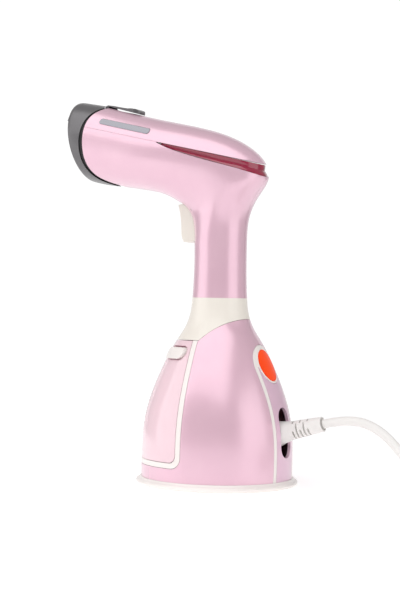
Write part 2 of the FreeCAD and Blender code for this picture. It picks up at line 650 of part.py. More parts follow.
def electronics():
    board = box(22.8, 24.4, 4.5, 32.5, 10.0, 60.0)
    add("circuit_board", board)
    parts = [cylinder(5.0, (22.8, 13, 18), (12.0, 13, 18)), box(13.5, 22.8, 5.5, 19.0, 27.0, 40.0),
             box(15.5, 22.8, 20.5, 29.6, 14.0, 30.0), box(17.5, 22.8, 23.0, 31.0, 34.0, 44.0),
             box(20.5, 22.8, 8.0, 27.0, 46.0, 58.0)]
    add("board_components", group(parts))
    centre, outward, up = button_frame()
    body = Part.makeBox(13, 17, 9, vec(-6.5, -8.5, 0))
    body.Placement = aligned(centre - outward * 19.5, outward)
    stem = Part.makeCylinder(2.4, 1.3, centre - outward * 10.6, outward)
    add("power_switch", body.fuse(stem).removeSplitter())


def power_button():
    outer = case_solid(-0.5, 70, 112)
    centre, outward, up = button_frame()
    cap = button_oval(0.0, 4.6, 6.0).common(outer)
    hollow = oval(BUTTON_HALF[0] - 1.8, BUTTON_HALF[1] - 1.8, 5.0, centre - outward * 7.0, outward, up)
    cap = cap.cut(hollow)
    stem = Part.makeCylinder(3.0, 5.4, centre - outward * 7.4, outward)
    add("power_button", cap.fuse(stem).removeSplitter())
    add("button_spring", coil_spring(centre - outward * 9.9, outward, 4.2, 6.2, 3, 0.4))


def cord_swivel():
    drum = cylinder(SWIVEL_RADIUS, (-SWIVEL_HALF_WIDTH, *SWIVEL_AXIS), (SWIVEL_HALF_WIDTH, *SWIVEL_AXIS))
    pins = cylinder(2.5, (-10.1, *SWIVEL_AXIS), (10.1, *SWIVEL_AXIS))
    pitch = math.radians(RELIEF_PITCH)
    way = vec(0, math.cos(pitch), math.sin(pitch))
    centre = side(SWIVEL_AXIS)
    flare = Part.makeCone(8.6, 6.9, 8.5, centre + way * 7.5, way).common(
        box(-SWIVEL_HALF_WIDTH, SWIVEL_HALF_WIDTH, 30, 80, 10, 80))
    body = drum.fuse([pins, flare]).removeSplitter()
    bore = Part.makeCylinder(4.4, 40, centre - way * 12.0, way)
    add("cord_swivel", body.cut(bore))


def relief_profile():
    """(distance from swivel axis, radius) along the strain relief."""
    return [(16.0, 6.95), (33.0, 6.1), (RELIEF_END, 5.7)]


def strain_relief():
    pitch = math.radians(RELIEF_PITCH)
    way = vec(0, math.cos(pitch), math.sin(pitch))
    up = vec(0, -math.sin(pitch), math.cos(pitch))
    centre = side(SWIVEL_AXIS)
    profile = relief_profile()
    body = Part.makeCylinder(4.3, 8.0, centre + way * 8.2, way)
    for (s0, r0), (s1, r1) in zip(profile, profile[1:]):
        body = body.fuse(Part.makeCone(r0, r1, s1 - s0, centre + way * s0, way))
    for i in range(5):
        at = 18.2 + 3.0 * i
        lean = 1 if i % 2 else -1
        for turn in ((0, 180), (90, 270))[i % 2]:
            gap = Part.makeBox(12.4, 6.0, 1.3, vec(-6.2, 2.6, at))
            gap.rotate(vec(0, 0, 0), Z_AXIS, turn + 20 * lean)
            gap.Placement = FreeCAD.Placement(centre, FreeCAD.Rotation(Z_AXIS, way)).multiply(gap.Placement)
            body = body.cut(gap)
    mouth = Part.makeCone(3.6, 4.8, 4.0, centre + way * (RELIEF_END - 4.0), way)
    add("strain_relief", body.cut(mouth))


# ---------------------------------------------------------------- handle and head
HANDLE_SCREWS = [(12.6, 160.0), (12.6, 186.0)]    # (y, z) of the two cross screws
HEATER_SCREWS = [(15.5, 1.0), (-15.5, 1.0), (15.5, -24.0), (-15.5, -24.0)]    # (across, up) on the face
INLET = (0.0, -5.0)
THERMOSTAT = (0.0, -19.0)


def screw_boss(y, z):
    """Bosses on both handle shells for one cross screw; returns left part, right part and screw."""
    left = ring(3.4, 1.5, (0.1, y, z), (19.0, y, z))
    right = ring(3.4, 2.0, (-19.0, y, z), (-0.1, y, z))
    return left, right


def head_shells():
    outside = head_solid(0.0)
    inside = head_solid(WALL)
    wall = outside.cut(inside)
    behind_ring = wall.cut(front_region(1.6))
    upper = upper_region()
    cover = behind_ring.common(upper_region(SEAM / 2))
    recess = outside.common(badge_prism(0.15)).cut(head_solid(0.9))
    cover = cover.cut(recess).cut(mirrored(recess))
    knuckle_room = cylinder(2.3, (-7.8, *TAB_PIN), (7.8, *TAB_PIN))
    tab_path = [(-69.4, 283.3), (-85.8, 286.5), (-97.2, 289.2), (-104.0, 290.9), (-104.0, 300.0), (-69.4, 300.0)]
    tab_channel = side_prism(tab_path, -TAB_HALF_WIDTH - SLIDE_GAP, TAB_HALF_WIDTH + SLIDE_GAP)
    add("head_top_cover", cover.cut(knuckle_room).cut(tab_channel))

    lower = behind_ring.cut(upper).cut(stripe_region(SEAM))
    slot_half = TRIGGER_HALF_WIDTH + SLIDE_GAP
    trigger_slot = side_prism([(-40, 182.4), (-14, 182.4), (-14, 211.4), (-22, 214.2), (-40, 214.4)],
                              -slot_half, slot_half)
    lower = lower.cut(trigger_slot)
    bosses = {1: [], -1: []}
    for y, z in HANDLE_SCREWS:
        left, right = screw_boss(y, z)
        bosses[1].append(left)
        bosses[-1].append(right)
    y, z = TRIGGER_PIVOT
    for sign in (1, -1):
        x0, x1 = (slot_half + 0.2, 24.0) if sign > 0 else (-24.0, -slot_half - 0.2)
        bosses[sign].append(ring(3.6, 1.6, (x0, y, z), (x1, y, z)))
    for name, x0, x1, sign in (("handle_shell_left", 0.1, 60, 1), ("handle_shell_right", -60, -0.1, -1)):
        half = lower.common(box(x0, x1, -150, 60, 140, 300))
        own = [b.common(inside) for b in bosses[sign]]
        shell = half.fuse(own).removeSplitter()
        bores = [cylinder(1.6, (-12.0, *TRIGGER_PIVOT), (12.0, *TRIGGER_PIVOT))]
        for y, z in HANDLE_SCREWS:
            if sign > 0:
                bores.append(cylinder(1.5, (0.0, y, z), (6.2, y, z)))
            else:
                bores.append(cylinder(3.3, (-30, y, z), (-12.35, y, z)))
                bores.append(cylinder(2.0, (-13.0, y, z), (0.0, y, z)))
        shell = shell.cut(group(bores))
        shell = shell.cut(ring(18.3, 0.01, (0, 0, 139), (0, 0, 152.2)).common(box(-30, 30, -30, 30, 139, 152.2)))
        add(name, shell)
    screws = [screw((-14.0, y, z), (6.0, y, z), 3.0, 1.45, 1.6) for y, z in HANDLE_SCREWS]
    add("handle_screws", group(screws))

    stripe_outer = head_solid(0.5)
    stripe = stripe_outer.cut(inside).common(stripe_region()).cut(upper)
    add("accent_stripe", stripe.common(box(-60, 60, -41.0, 60, 200, 300)))
    return outside, inside


def attachment_parts(outside):
    """Bezel ring that carries the attachments, its release tab and the black seal behind it."""
    ring_body = outside.cut(head_solid(2.6)).common(front_region(0.0)).cut(face_slab(-60, 0.0))
    lip = outside.cut(head_solid(6.2)).common(face_slab(0.0, 2.2))
    raised = Part.makeLoft([face_section(0.3, 0.5), face_section(1.9, -LIP_HEIGHT)], True, True)
    raised = raised.cut(Part.Face(face_section(5.0, 2.0)).extrude(face_point(0, 0, -8.0) - face_point(0, 0, 0)))
    upper_lip = raised.common(side_prism([(-160, 279.0), (-90, 279.0), (-90, 320), (-160, 320)], -60, 60))
    body = ring_body.fuse([lip, upper_lip]).removeSplitter()
    notch = box(-TAB_HALF_WIDTH - SLIDE_GAP, TAB_HALF_WIDTH + SLIDE_GAP, -102.5, -60, 284, 320)
    pin_hole = cylinder(0.95, (-11, *TAB_PIN), (11, *TAB_PIN))
    add("attachment_ring", body.cut(notch).cut(pin_hole))
    add("tab_pin", cylinder(0.9, (-10.0, *TAB_PIN), (10.0, *TAB_PIN)))

    outline = [(-101.9, 290.6), (-98.0, 291.9), (-92.5, 291.1), (-86.0, 289.7), (-80.5, 288.7), (-76.5, 288.5),
               (-73.0, 287.9), (-70.6, 286.4), (-69.8, 284.7), (-71.4, 284.1), (-83.2, 287.2), (-90.0, 289.0),
               (-96.6, 290.9)]
    knuckle = cylinder(1.8, (-TAB_HALF_WIDTH, *TAB_PIN), (TAB_HALF_WIDTH, *TAB_PIN))
    tab = side_prism(outline, -TAB_HALF_WIDTH, TAB_HALF_WIDTH)
    plan = rounded_box(-TAB_HALF_WIDTH, TAB_HALF_WIDTH, -120.0, -70.0, 270, 300, 5.0)
    tab = tab.common(plan).fuse(knuckle).removeSplitter().cut(cylinder(1.0, (-11, *TAB_PIN), (11, *TAB_PIN)))
    add("attachment_tab", tab)

    gap = front_region(1.5).cut(front_region(0.1)).common(box(-60, 60, -160, -84, 200, 300))
    gap = gap.cut(box(-10.6, 10.6, -105.0, -70.0, 283.0, 300.0))
    add("bezel_gasket", head_solid(0.9).common(gap).cut(head_solid(2.4)))


def toward_face(shape_radius, x, up_by, depth, length):
    """Cylinder that starts at a depth behind the face and runs towards the face."""
    return Part.makeCylinder(shape_radius, length, face_point(x, up_by, depth), face_point(0, 0, 0) - face_point(0, 0, 1))


def away_from_face(shape_radius, x, up_by, depth, length):
    return Part.makeCylinder(shape_radius, length, face_point(x, up_by, depth), face_point(0, 0, 1) - face_point(0, 0, 0))


def steam_engine():
    """Steam plate, heater block, heating element and their controls, stacked behind the face."""
    plate = head_solid(6.6).common(face_slab(2.4, 5.2))
    holes = [toward_face(1.25, 0, -2.0, 8.0, 10)]
    for count, radius in ((6, 7.5), (12, 15.0)):
        for i in range(count):
            angle = 2 * math.pi * i / count
            holes.append(toward_face(1.25, radius * math.cos(angle), radius * math.sin(angle) - 2.0, 8.0, 10))
    add("steam_plate", plate.cut(group(holes)))

    block = head_solid(8.0).common(face_slab(5.4, 24.0))
    chamber = head_solid(13.0).common(face_slab(5.0, 11.0))
    inlet_bore = toward_face(2.5, *INLET, 30.0, 20)
    pilots = [toward_face(1.55, x, up, 25.0, 10) for x, up in HEATER_SCREWS]
    add("heater_block", block.cut(chamber).cut(heating_element(3.6)).cut(inlet_bore).cut(group(pilots)))
    add("heating_element", heating_element(3.5))

    shield = head_solid(4.6).common(face_slab(24.2, 25.3))
    cuts = [toward_face(1.7, x, up, 28.0, 6) for x, up in HEATER_SCREWS]
    cuts += [toward_face(radius, x, up, 28.0, 6)
             for (x, up), radius in ((INLET, 4.2), ((9.0, -4.0), 4.4), ((-9.0, -4.0), 4.4), (THERMOSTAT, 7.2))]
    add("heat_shield", shield.cut(group(cuts)))
    screws = [screw(tuple(face_point(x, up, 27.0)), tuple(face_point(x, up, 16.0)), 3.0, 1.5, 1.6)
              for x, up in HEATER_SCREWS]
    add("heater_screws", group(screws))

    fitting = away_from_face(2.4, *INLET, 18.0, 10)
    fitting = fitting.fuse([away_from_face(3.6, *INLET, 24.1, 3.0), away_from_face(2.2, *INLET, 27.0, 8.0)])
    add("boiler_inlet", fitting.removeSplitter())
    thermostat = away_from_face(6.6, *THERMOSTAT, 24.1, 4.2).fuse(away_from_face(4.4, *THERMOSTAT, 28.0, 4.0))
    add("thermostat", thermostat.removeSplitter())
    fuse_start, fuse_end = face_point(-8.0, 3.6, 27.6), face_point(8.0, 3.6, 27.6)
    add("thermal_fuse", cylinder(1.9, tuple(fuse_start), tuple(fuse_end)))


def heating_element(radius):
    """U-shaped sheathed element lying in the heater block, with both ends out through the shield."""
    points = [face_point(9.0, -4.0, 33.0), face_point(9.0, -4.0, 17.5), face_point(9.0, -20.0, 17.5),
              face_point(-9.0, -20.0, 17.5), face_point(-9.0, -4.0, 17.5), face_point(-9.0, -4.0, 33.0)]
    return tube([tuple(p) for p in points], radius)


def trigger_parts():
    y, z = TRIGGER_PIVOT
    front = [(-33.6, 212.2), (-31.6, 204.0), (-30.6, 195.0), (-30.0, 187.5), (-28.2, 183.6)]
    rear = [(-24.0, 183.0), (-17.6, 184.4), (-16.2, 194.0), (-16.0, 204.0), (-17.0, 211.4), (-24.0, 213.4)]
    body = curve_prism(front, rear, -TRIGGER_HALF_WIDTH, TRIGGER_HALF_WIDTH)
    body = body.cut(ring(40, 3.4, (-20, y, z), (20, y, z)).common(box(-20, 20, y, y + 40, z - 2, z + 40)))
    body = body.fuse(cylinder(3.4, (-TRIGGER_HALF_WIDTH, y, z), (TRIGGER_HALF_WIDTH, y, z))).removeSplitter()
    hollow = side_prism([(-26.5, 187.5), (-15.0, 187.5), (-15.0, 201.0), (-26.0, 201.0)], -4.6, 4.6)
    tongue = box(-1.6, 1.6, -28.0, -16.4, 190.0, 194.0)
    body = body.cut(hollow).fuse(tongue).removeSplitter()
    add("trigger", body.cut(cylinder(1.55, (-20, y, z), (20, y, z))))
    add("trigger_pin", cylinder(1.5, (-11.5, y, z), (11.5, y, z)))
    add("trigger_spring", coil_spring(vec(0, -14.0, 198.0), vec(0, -1, 0), 2.2, 10.2, 5, 0.35))
    switch = rounded_box(-3.2, 3.2, -13.6, -3.6, 186.0, 202.0, 1.0)
    add("microswitch", switch.cut(cylinder(1.2, (0, -14, 192), (0, -8.0, 192))))
    add("switch_plunger", cylinder(1.1, (0, -16.2, 192), (0, -10.8, 192)))


# ---------------------------------------------------------------- badges and lead
def badge_prism(grow):
    """Slim rounded strip region on the left of the top cover."""
    low, high = -grow, 4.4 + grow
    corners = [side(p, 5.0) for p in ((-94.5 - grow, 275.1 + low), (-50.5 + grow, 265.1 + low),
                                      (-50.5 + grow, 265.1 + high), (-94.5 - grow, 275.1 + high))]
    return Part.Face(rounded_wire(corners, 1.8)).extrude(X_AXIS * 40)


def side_badges():
    """Plain chrome strip on each side of the top cover, seated in a shallow recess."""
    left = head_solid(-0.35).common(badge_prism(0.0)).cut(head_solid(0.8))
    add("side_badges", group([left, mirrored(left)]))


def mains_lead():
    lead = tube(LEAD_ROUTE, CORD_DIAMETER / 2, "mains lead")
    tail = tube(TAIL_ROUTE, CORD_DIAMETER / 2, "plug tail")
    add("mains_cord", group([lead, tail]))
    x, y = COIL_CENTRE
    inner = COIL_MID_RADIUS - COIL_HALF_WIDTH
    outer = COIL_MID_RADIUS + COIL_HALF_WIDTH
    low, high = COIL_BOTTOM, COIL_BOTTOM + COIL_HEIGHT
    corners = [vec(inner, 0, low), vec(outer, 0, low), vec(outer, 0, high), vec(inner, 0, high)]
    coil = Part.Face(rounded_wire(corners, 5.0)).revolve(vec(0, 0, 0), Z_AXIS, 360)
    coil.translate(vec(x, y, 0))
    add("cord_coil", coil)
    band_corners = [vec(inner - 1.2, 0, 0.0), vec(outer + 1.2, 0, 0.0), vec(outer + 1.2, 0, high + 1.0),
                    vec(inner - 1.2, 0, high + 1.0)]
    hole_corners = [vec(inner - 0.3, 0, low - 0.3), vec(outer + 0.3, 0, low - 0.3),
                    vec(outer + 0.3, 0, high + 0.3), vec(inner - 0.3, 0, high + 0.3)]
    band = Part.Face(rounded_wire(band_corners, 5.4)).extrude(Y_AXIS * 9)
    band = band.cut(Part.Face(rounded_wire(hole_corners, 5.1)).extrude(Y_AXIS * 9))
    band.translate(vec(0, -4.5, 0))
    band.rotate(vec(0, 0, 0), Z_AXIS, -62)
    band.translate(vec(x, y, 0))
    add("cord_tie", band.cut(coil))
    px, py, pz = PLUG_START
    sections = []
    for back, half_width, half_height in ((0.0, 6.0, 6.0), (8.0, 8.0, 7.0), (20.0, 16.5, 10.0), (34.0, 17.5, 12.0),
                                          (44.0, 17.5, 12.0)):
        corners = [vec(px - half_width, py - back, pz - half_height), vec(px + half_width, py - back, pz - half_height),
                   vec(px + half_width, py - back, pz + half_height), vec(px - half_width, py - back, pz + half_height)]
        sections.append(rounded_wire(corners, half_height * 0.8))
    body = Part.makeLoft(sections, True, True)
    pins = [cylinder(2.4, (px + x_off, py - 43.0, pz), (px + x_off, py - 63.0, pz)) for x_off in (-9.5, 9.5)]
    add("mains_plug", body.fuse(pins).removeSplitter())


# ---------------------------------------------------------------- build
base_foot()
base_screws()
case_panels()
base_chassis()
water_tank()
tank_fittings()
pump_group()
hoses_and_wires()
electronics()
power_button()
cord_swivel()
strain_relief()
head_outside, head_inside = head_shells()
attachment_parts(head_outside)
steam_engine()
trigger_parts()
side_badges()
mains_lead()

os.makedirs("parts", exist_ok=True)
for node_name, node_shape in NODES.items():
    node_shape.exportStep("parts/" + node_name + ".step")
print(len(NODES), "nodes")
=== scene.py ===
"""Handheld garment steamer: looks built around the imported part, in metres and in its frame."""
import json
import math

import bpy
from mathutils import Matrix, Vector
from mathutils.bvhtree import BVHTree

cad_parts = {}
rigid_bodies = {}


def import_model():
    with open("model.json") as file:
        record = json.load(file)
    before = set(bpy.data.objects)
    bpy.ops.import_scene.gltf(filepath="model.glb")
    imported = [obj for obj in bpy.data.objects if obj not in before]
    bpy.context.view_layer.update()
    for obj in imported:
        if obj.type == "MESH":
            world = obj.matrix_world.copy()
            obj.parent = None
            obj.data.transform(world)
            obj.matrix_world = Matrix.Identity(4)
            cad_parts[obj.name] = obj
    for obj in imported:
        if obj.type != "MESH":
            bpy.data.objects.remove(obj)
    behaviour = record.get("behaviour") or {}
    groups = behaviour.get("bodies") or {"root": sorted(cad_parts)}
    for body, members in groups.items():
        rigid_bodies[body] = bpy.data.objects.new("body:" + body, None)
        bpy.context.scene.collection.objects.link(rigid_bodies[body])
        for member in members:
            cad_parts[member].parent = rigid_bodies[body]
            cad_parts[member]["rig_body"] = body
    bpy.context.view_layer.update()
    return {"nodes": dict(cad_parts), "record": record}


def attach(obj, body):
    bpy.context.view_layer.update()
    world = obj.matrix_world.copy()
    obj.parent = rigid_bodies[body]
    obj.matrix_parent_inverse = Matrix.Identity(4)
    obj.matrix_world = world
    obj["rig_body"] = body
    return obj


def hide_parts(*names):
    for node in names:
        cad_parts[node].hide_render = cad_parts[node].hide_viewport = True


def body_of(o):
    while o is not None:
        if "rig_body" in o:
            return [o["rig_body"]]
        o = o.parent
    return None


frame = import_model()
NODES = frame["nodes"]
scene = bpy.context.scene


# ---------------------------------------------------------------- camera
VIEW_ANGLE = math.radians(27.0)      # the camera stands this far round from +X towards +Y
DISTANCE = 1.055
CAMERA_HEIGHT = 0.13915
SIDE_STEP = 0.0151                   # how far the camera stands to its own left
LENS = 82.9
SENSOR = 36.0
ROLL = math.radians(1.0)


def make_camera():
    towards = Vector((-math.cos(VIEW_ANGLE), -math.sin(VIEW_ANGLE), 0.0))
    right = Vector((-math.sin(VIEW_ANGLE), math.cos(VIEW_ANGLE), 0.0))
    up = Vector((0.0, 0.0, 1.0))
    rolled_right = right * math.cos(ROLL) + up * math.sin(ROLL)
    rolled_up = up * math.cos(ROLL) - right * math.sin(ROLL)
    data = bpy.data.cameras.new("camera")
    data.sensor_fit = "VERTICAL"
    data.sensor_height = SENSOR
    data.lens = LENS
    camera = bpy.data.objects.new("camera", data)
    turn = Matrix((rolled_right, rolled_up, -towards)).transposed().to_4x4()
    place = -towards * DISTANCE - right * SIDE_STEP + up * CAMERA_HEIGHT
    camera.matrix_world = Matrix.Translation(place) @ turn
    scene.collection.objects.link(camera)
    scene.camera = camera


make_camera()


# ---------------------------------------------------------------- mains cord
CORD_DIAMETER = 0.007
LEAD_ROUTE = [(0.0, 0.0870, 0.0496), (0.0, 0.1074, 0.0547), (0.0020, 0.1300, 0.0490),
              (0.0070, 0.1490, 0.0335), (0.0155, 0.1660, 0.0165), (0.0260, 0.1825, 0.0066),
              (0.0377, 0.1983, 0.0048)]
TAIL_ROUTE = [(-0.0178, 0.2815, 0.0085), (-0.0368, 0.2790, 0.0095), (-0.0548, 0.2720, 0.0110),
              (-0.0708, 0.2585, 0.0124), (-0.0798, 0.2400, 0.0130)]
COIL_CENTRE = (-0.0103, 0.2260)
COIL_OUTER = 0.0473
COIL_INNER = 0.0263
COIL_LOW = 0.0041
COIL_HIGH = 0.0111
TURN_POINTS = 16
LAYER_TURNS = 2.9
CHANGE_TURNS = 0.35
COIL_START = math.radians(8.0)


def coil_points():
    """Two flat layers: inwards on the floor, up at the middle, and outwards on top."""
    points = []
    total = LAYER_TURNS * 2 + CHANGE_TURNS
    steps = int(total * TURN_POINTS)
    for i in range(steps + 1):
        turn = total * i / steps
        if turn < LAYER_TURNS:
            radius = COIL_OUTER - (COIL_OUTER - COIL_INNER) * turn / LAYER_TURNS
            height = COIL_LOW
        elif turn < LAYER_TURNS + CHANGE_TURNS:
            radius = COIL_INNER
            rise = (turn - LAYER_TURNS) / CHANGE_TURNS
            height = COIL_LOW + (COIL_HIGH - COIL_LOW) * (3 * rise ** 2 - 2 * rise ** 3)
        else:
            outward = (turn - LAYER_TURNS - CHANGE_TURNS) / LAYER_TURNS
            radius = COIL_INNER + (COIL_OUTER - COIL_INNER) * outward
            height = COIL_HIGH
        angle = COIL_START + 2 * math.pi * turn
        across, along = COIL_CENTRE
        points.append((across + radius * math.cos(angle), along + radius * math.sin(angle), height))
    return points


def make_cord():
    route = LEAD_ROUTE + coil_points() + TAIL_ROUTE
    curve = bpy.data.curves.new("mains_lead", "CURVE")
    curve.dimensions = "3D"
    curve.bevel_depth = CORD_DIAMETER / 2
    curve.bevel_resolution = 5
    curve.resolution_u = 6
    curve.use_fill_caps = True
    spline = curve.splines.new("NURBS")
    spline.points.add(len(route) - 1)
    for point, place in zip(spline.points, route):
        point.co = (*place, 1.0)
    spline.order_u = 3
    spline.use_endpoint_u = True
    lead = bpy.data.objects.new("mains_lead", curve)
    scene.collection.objects.link(lead)
    return lead


LEAD_PIECE = make_cord()


# ---------------------------------------------------------------- materials
def linear(code):
    """Linear colour of a six-digit hex code."""
    parts = [int(code[i:i + 2], 16) / 255 for i in (0, 2, 4)]
    return tuple(c / 12.92 if c <= 0.04045 else ((c + 0.055) / 1.055) ** 2.4 for c in parts) + (1.0,)


MATERIAL_OF = {}


def plastic(name, colour, second=None, rough=0.3, spread=0.04, scale=60.0, grain=900.0, bump=0.02,
            coat=0.0, coat_rough=0.1, metallic=0.0, transmission=0.0, ior=1.5, sheen=0.0, specular=0.5,
            glow=0.0):
    """Moulded or painted finish: slow colour drift, roughness drift and a fine surface grain, with an
    optional glow of the base colour. On parts that are no lamps that glow is painted light; on the floor it
    holds the floor evenly white.
    """
    mat = bpy.data.materials.new("look_" + name)
    MATERIAL_OF[name] = mat
    mat.use_nodes = True
    tree = mat.node_tree
    shader = tree.nodes["Principled BSDF"]
    place = tree.nodes.new("ShaderNodeTexCoord")
    drift = tree.nodes.new("ShaderNodeTexNoise")
    drift.inputs["Scale"].default_value = scale
    drift.inputs["Detail"].default_value = 4.0
    tree.links.new(place.outputs["Object"], drift.inputs["Vector"])
    ramp = tree.nodes.new("ShaderNodeValToRGB")
    ramp.color_ramp.elements[0].position = 0.3
    ramp.color_ramp.elements[1].position = 0.7
    base = linear(colour)
    darker = tuple(c * (1 - spread) for c in base[:3]) + (1.0,)
    ramp.color_ramp.elements[0].color = darker if second is None else linear(second)
    ramp.color_ramp.elements[1].color = base
    tree.links.new(drift.outputs["Fac"], ramp.inputs["Fac"])
    tree.links.new(ramp.outputs["Color"], shader.inputs["Base Color"])
    fine = tree.nodes.new("ShaderNodeTexNoise")
    fine.inputs["Scale"].default_value = grain
    fine.inputs["Detail"].default_value = 3.0
    tree.links.new(place.outputs["Object"], fine.inputs["Vector"])
    rough_range = tree.nodes.new("ShaderNodeMapRange")
    rough_range.inputs["To Min"].default_value = rough * 0.85
    rough_range.inputs["To Max"].default_value = rough * 1.15
    tree.links.new(fine.outputs["Fac"], rough_range.inputs["Value"])
    tree.links.new(rough_range.outputs["Result"], shader.inputs["Roughness"])
    relief = tree.nodes.new("ShaderNodeBump")
    relief.inputs["Strength"].default_value = bump
    relief.inputs["Distance"].default_value = 0.0002
    tree.links.new(fine.outputs["Fac"], relief.inputs["Height"])
    tree.links.new(relief.outputs["Normal"], shader.inputs["Normal"])
    shader.inputs["Coat Weight"].default_value = coat
    shader.inputs["Coat Roughness"].default_value = coat_rough
    shader.inputs["Metallic"].default_value = metallic
    shader.inputs["Transmission Weight"].default_value = transmission
    shader.inputs["IOR"].default_value = ior
    shader.inputs["Sheen Weight"].default_value = sheen
    shader.inputs["Specular IOR Level"].default_value = specular
    # glow sets emission of the base colour: painted light wherever the part is no lamp
    shader.inputs["Emission Color"].default_value = base
    shader.inputs["Emission Strength"].default_value = glow
    return mat


def make_finishes():
    """Every finish of the object, named as the parts' material slots are."""
    # outer shells
    plastic("pearl_pink", "EAC2D2", "E7BECF", rough=0.3, coat=0.8, coat_rough=0.14, grain=2600, bump=0.05,
            metallic=0.32)
    plastic("rear_pink", "E6C3D6", "E2BED2", rough=0.36, coat=0.5, coat_rough=0.2, grain=2600, bump=0.05,
            metallic=0.15)
    # painted light: the slot walls glow (emission 0.42) though they are no lamp, lifting the shade inside the
    # recess
    plastic("slot_pink_painted_glow", "DDB4CB", rough=0.5, glow=0.42)
    plastic("white_gloss", "F4EEEA", rough=0.3, coat=0.3, spread=0.015)
    plastic("cream_gloss", "EFE9DF", rough=0.34, coat=0.3, spread=0.02)
    plastic("magenta_gloss", "9C0F3C", "8E0A34", rough=0.16, coat=1.0, coat_rough=0.03)
    plastic("grey_plastic", "6A686A", rough=0.34, grain=1500, bump=0.08, coat=0.35, coat_rough=0.22,
            metallic=0.45)
    # painted light: the power button glows (emission 0.16) though it is no lamp, to look brighter
    plastic("orange_gloss", "FF4E04", "F04000", rough=0.4, coat=0.15, coat_rough=0.1, specular=0.2, glow=0.16)
    plastic("chrome", "8E8E94", rough=0.12, metallic=1.0, spread=0.02)
    # painted light: the tank glows faintly (emission 0.05) to look lit through its walls, though it is no
    # lamp
    plastic("tank_pink", "FCE0E8", rough=0.16, coat=0.6, coat_rough=0.05, spread=0.02, transmission=0.22,
            ior=1.4, glow=0.05)
    plastic("tank_clear", "E8E6E2", rough=0.3)
    # seals and the lead
    plastic("black_rubber", "121212", rough=0.5, bump=0.1)
    plastic("silicone", "DEDED8", rough=0.45, sheen=0.1)
    plastic("lead_white", "EFEDEA", rough=0.42, spread=0.02, grain=1800, bump=0.05)
    plastic("tie_black", "1A1A1C", rough=0.9, grain=2500, bump=0.5, sheen=0.4)
    # steam engine and circuit inside
    plastic("steam_plate_steel", "B8B8B8", rough=0.28, metallic=1.0, scale=200)
    plastic("cast_aluminium", "A8A8AA", rough=0.5, metallic=1.0, bump=0.2, grain=600)
    plastic("steel", "A8A8AA", rough=0.3, metallic=1.0)
    plastic("brass", "C8A048", rough=0.3, metallic=1.0)
    plastic("inner_plastic", "202022", rough=0.5)
    plastic("board_green", "1E6B3A", rough=0.4, scale=400, spread=0.2)
    plastic("component_mix", "2E2E33", rough=0.45)
    plastic("wire_sleeve", "C9C4B8", rough=0.85, grain=3000, bump=0.4)


def dress_parts():
    """Give every part the finish of its slot; two parts have a finish of their own, and the inlet socket's
    own finish glows as painted light.
    """
    finish_of = {part["node"]: part["material_slot"] for part in frame["record"]["subparts"]}
    finish_of["rear_panel"] = "rear_pink"
    # painted light: the inlet socket's finish glows to lighten the slot's shaded interior
    finish_of["inlet_socket"] = "slot_pink_painted_glow"
    for name, piece in NODES.items():
        for place in piece.material_slots:
            place.material = MATERIAL_OF[finish_of[name]]


make_finishes()
dress_parts()


# ---------------------------------------------------------------- accent stripe
STRIPE_EDGE = [(-0.0420, 0.2584), (-0.0300, 0.2532), (-0.0140, 0.2480), (0.0060, 0.2423), (0.0240, 0.2373),
               (0.0420, 0.2305)]    # lower edge of the stripe in the side view, (y, z)
CREASE = 0.40                       # where the groove is deepest, from the upper edge down
GROOVE_DEPTH = 0.0019
EDGE_SINK = 0.0004
INSERT_THICKNESS = 0.0026
UPPER_EDGE_HEIGHT = 0.2495          # where the straight upper edge crosses y = 0
UPPER_EDGE_SLOPE = -0.2173
CAST_LENGTH = 0.2
CAST_NUDGES = (0.0, -0.0003, 0.0003, -0.0006, 0.0006)    # steps up and down past a seam
CAST_ROUNDS = 7
STRIPE_REACH = math.radians(49.5)   # how far past each side the stripe runs round the head
STRIPE_STEPS = 120
ACROSS_STEPS = 14


def skin_of(names):
    """Search tree over the outer faces of several parts."""
    points, faces = [], []
    for name in names:
        mesh = NODES[name].data
        first = len(points)
        points += [v.co.copy() for v in mesh.vertices]
        faces += [[first + i for i in f.vertices] for f in mesh.polygons]
    return BVHTree.FromPolygons(points, faces)


def upper_edge(y):
    return UPPER_EDGE_HEIGHT + UPPER_EDGE_SLOPE * y


def lower_edge(y):
    for (y0, z0), (y1, z1) in zip(STRIPE_EDGE, STRIPE_EDGE[1:]):
        if y <= y1:
            break
    share = (y - y0) / (y1 - y0)
    return min(z0 + (z1 - z0) * share, upper_edge(y))


def stripe_point(skin, bearing, share):
    """Point and normal on the head's skin at a bearing round the head and a share of the stripe's width."""
    way = Vector((math.cos(bearing), math.sin(bearing), 0.0))
    middle = Vector((0.0, -0.005, 0.0))
    y = -0.02
    for _ in range(CAST_ROUNDS):
        z = upper_edge(y) + (lower_edge(y) - upper_edge(y)) * share
        for nudge in CAST_NUDGES:
            start = middle + way * CAST_LENGTH + Vector((0, 0, z + nudge))
            hit, normal, _, _ = skin.ray_cast(start, -way)
            if hit is not None and (hit - middle).dot(way) > 0.01:
                break
        hit = Vector((hit.x, hit.y, z))
        y = hit.y
    return hit, normal if normal.dot(way) > 0 else -normal


def sheet_faces(row_count, wide):
    """Faces of a closed sheet: a front grid, a back grid after it, and the rim between them."""
    half = wide * row_count
    last = wide - 1
    faces = []
    for i in range(row_count - 1):
        for j in range(last):
            a = i * wide + j
            faces.append((a, a + wide, a + wide + 1, a + 1))
            faces.append((half + a, half + a + 1, half + a + wide + 1, half + a + wide))
        for j in (0, last):
            a = i * wide + j
            ring = (a, half + a, half + a + wide, a + wide)
            faces.append(ring if j == 0 else ring[::-1])
    for i in (0, row_count - 1):
        for j in range(last):
            a = i * wide + j
            ring = (a, a + 1, half + a + 1, half + a)
            faces.append(ring if i == 0 else ring[::-1])
    return faces


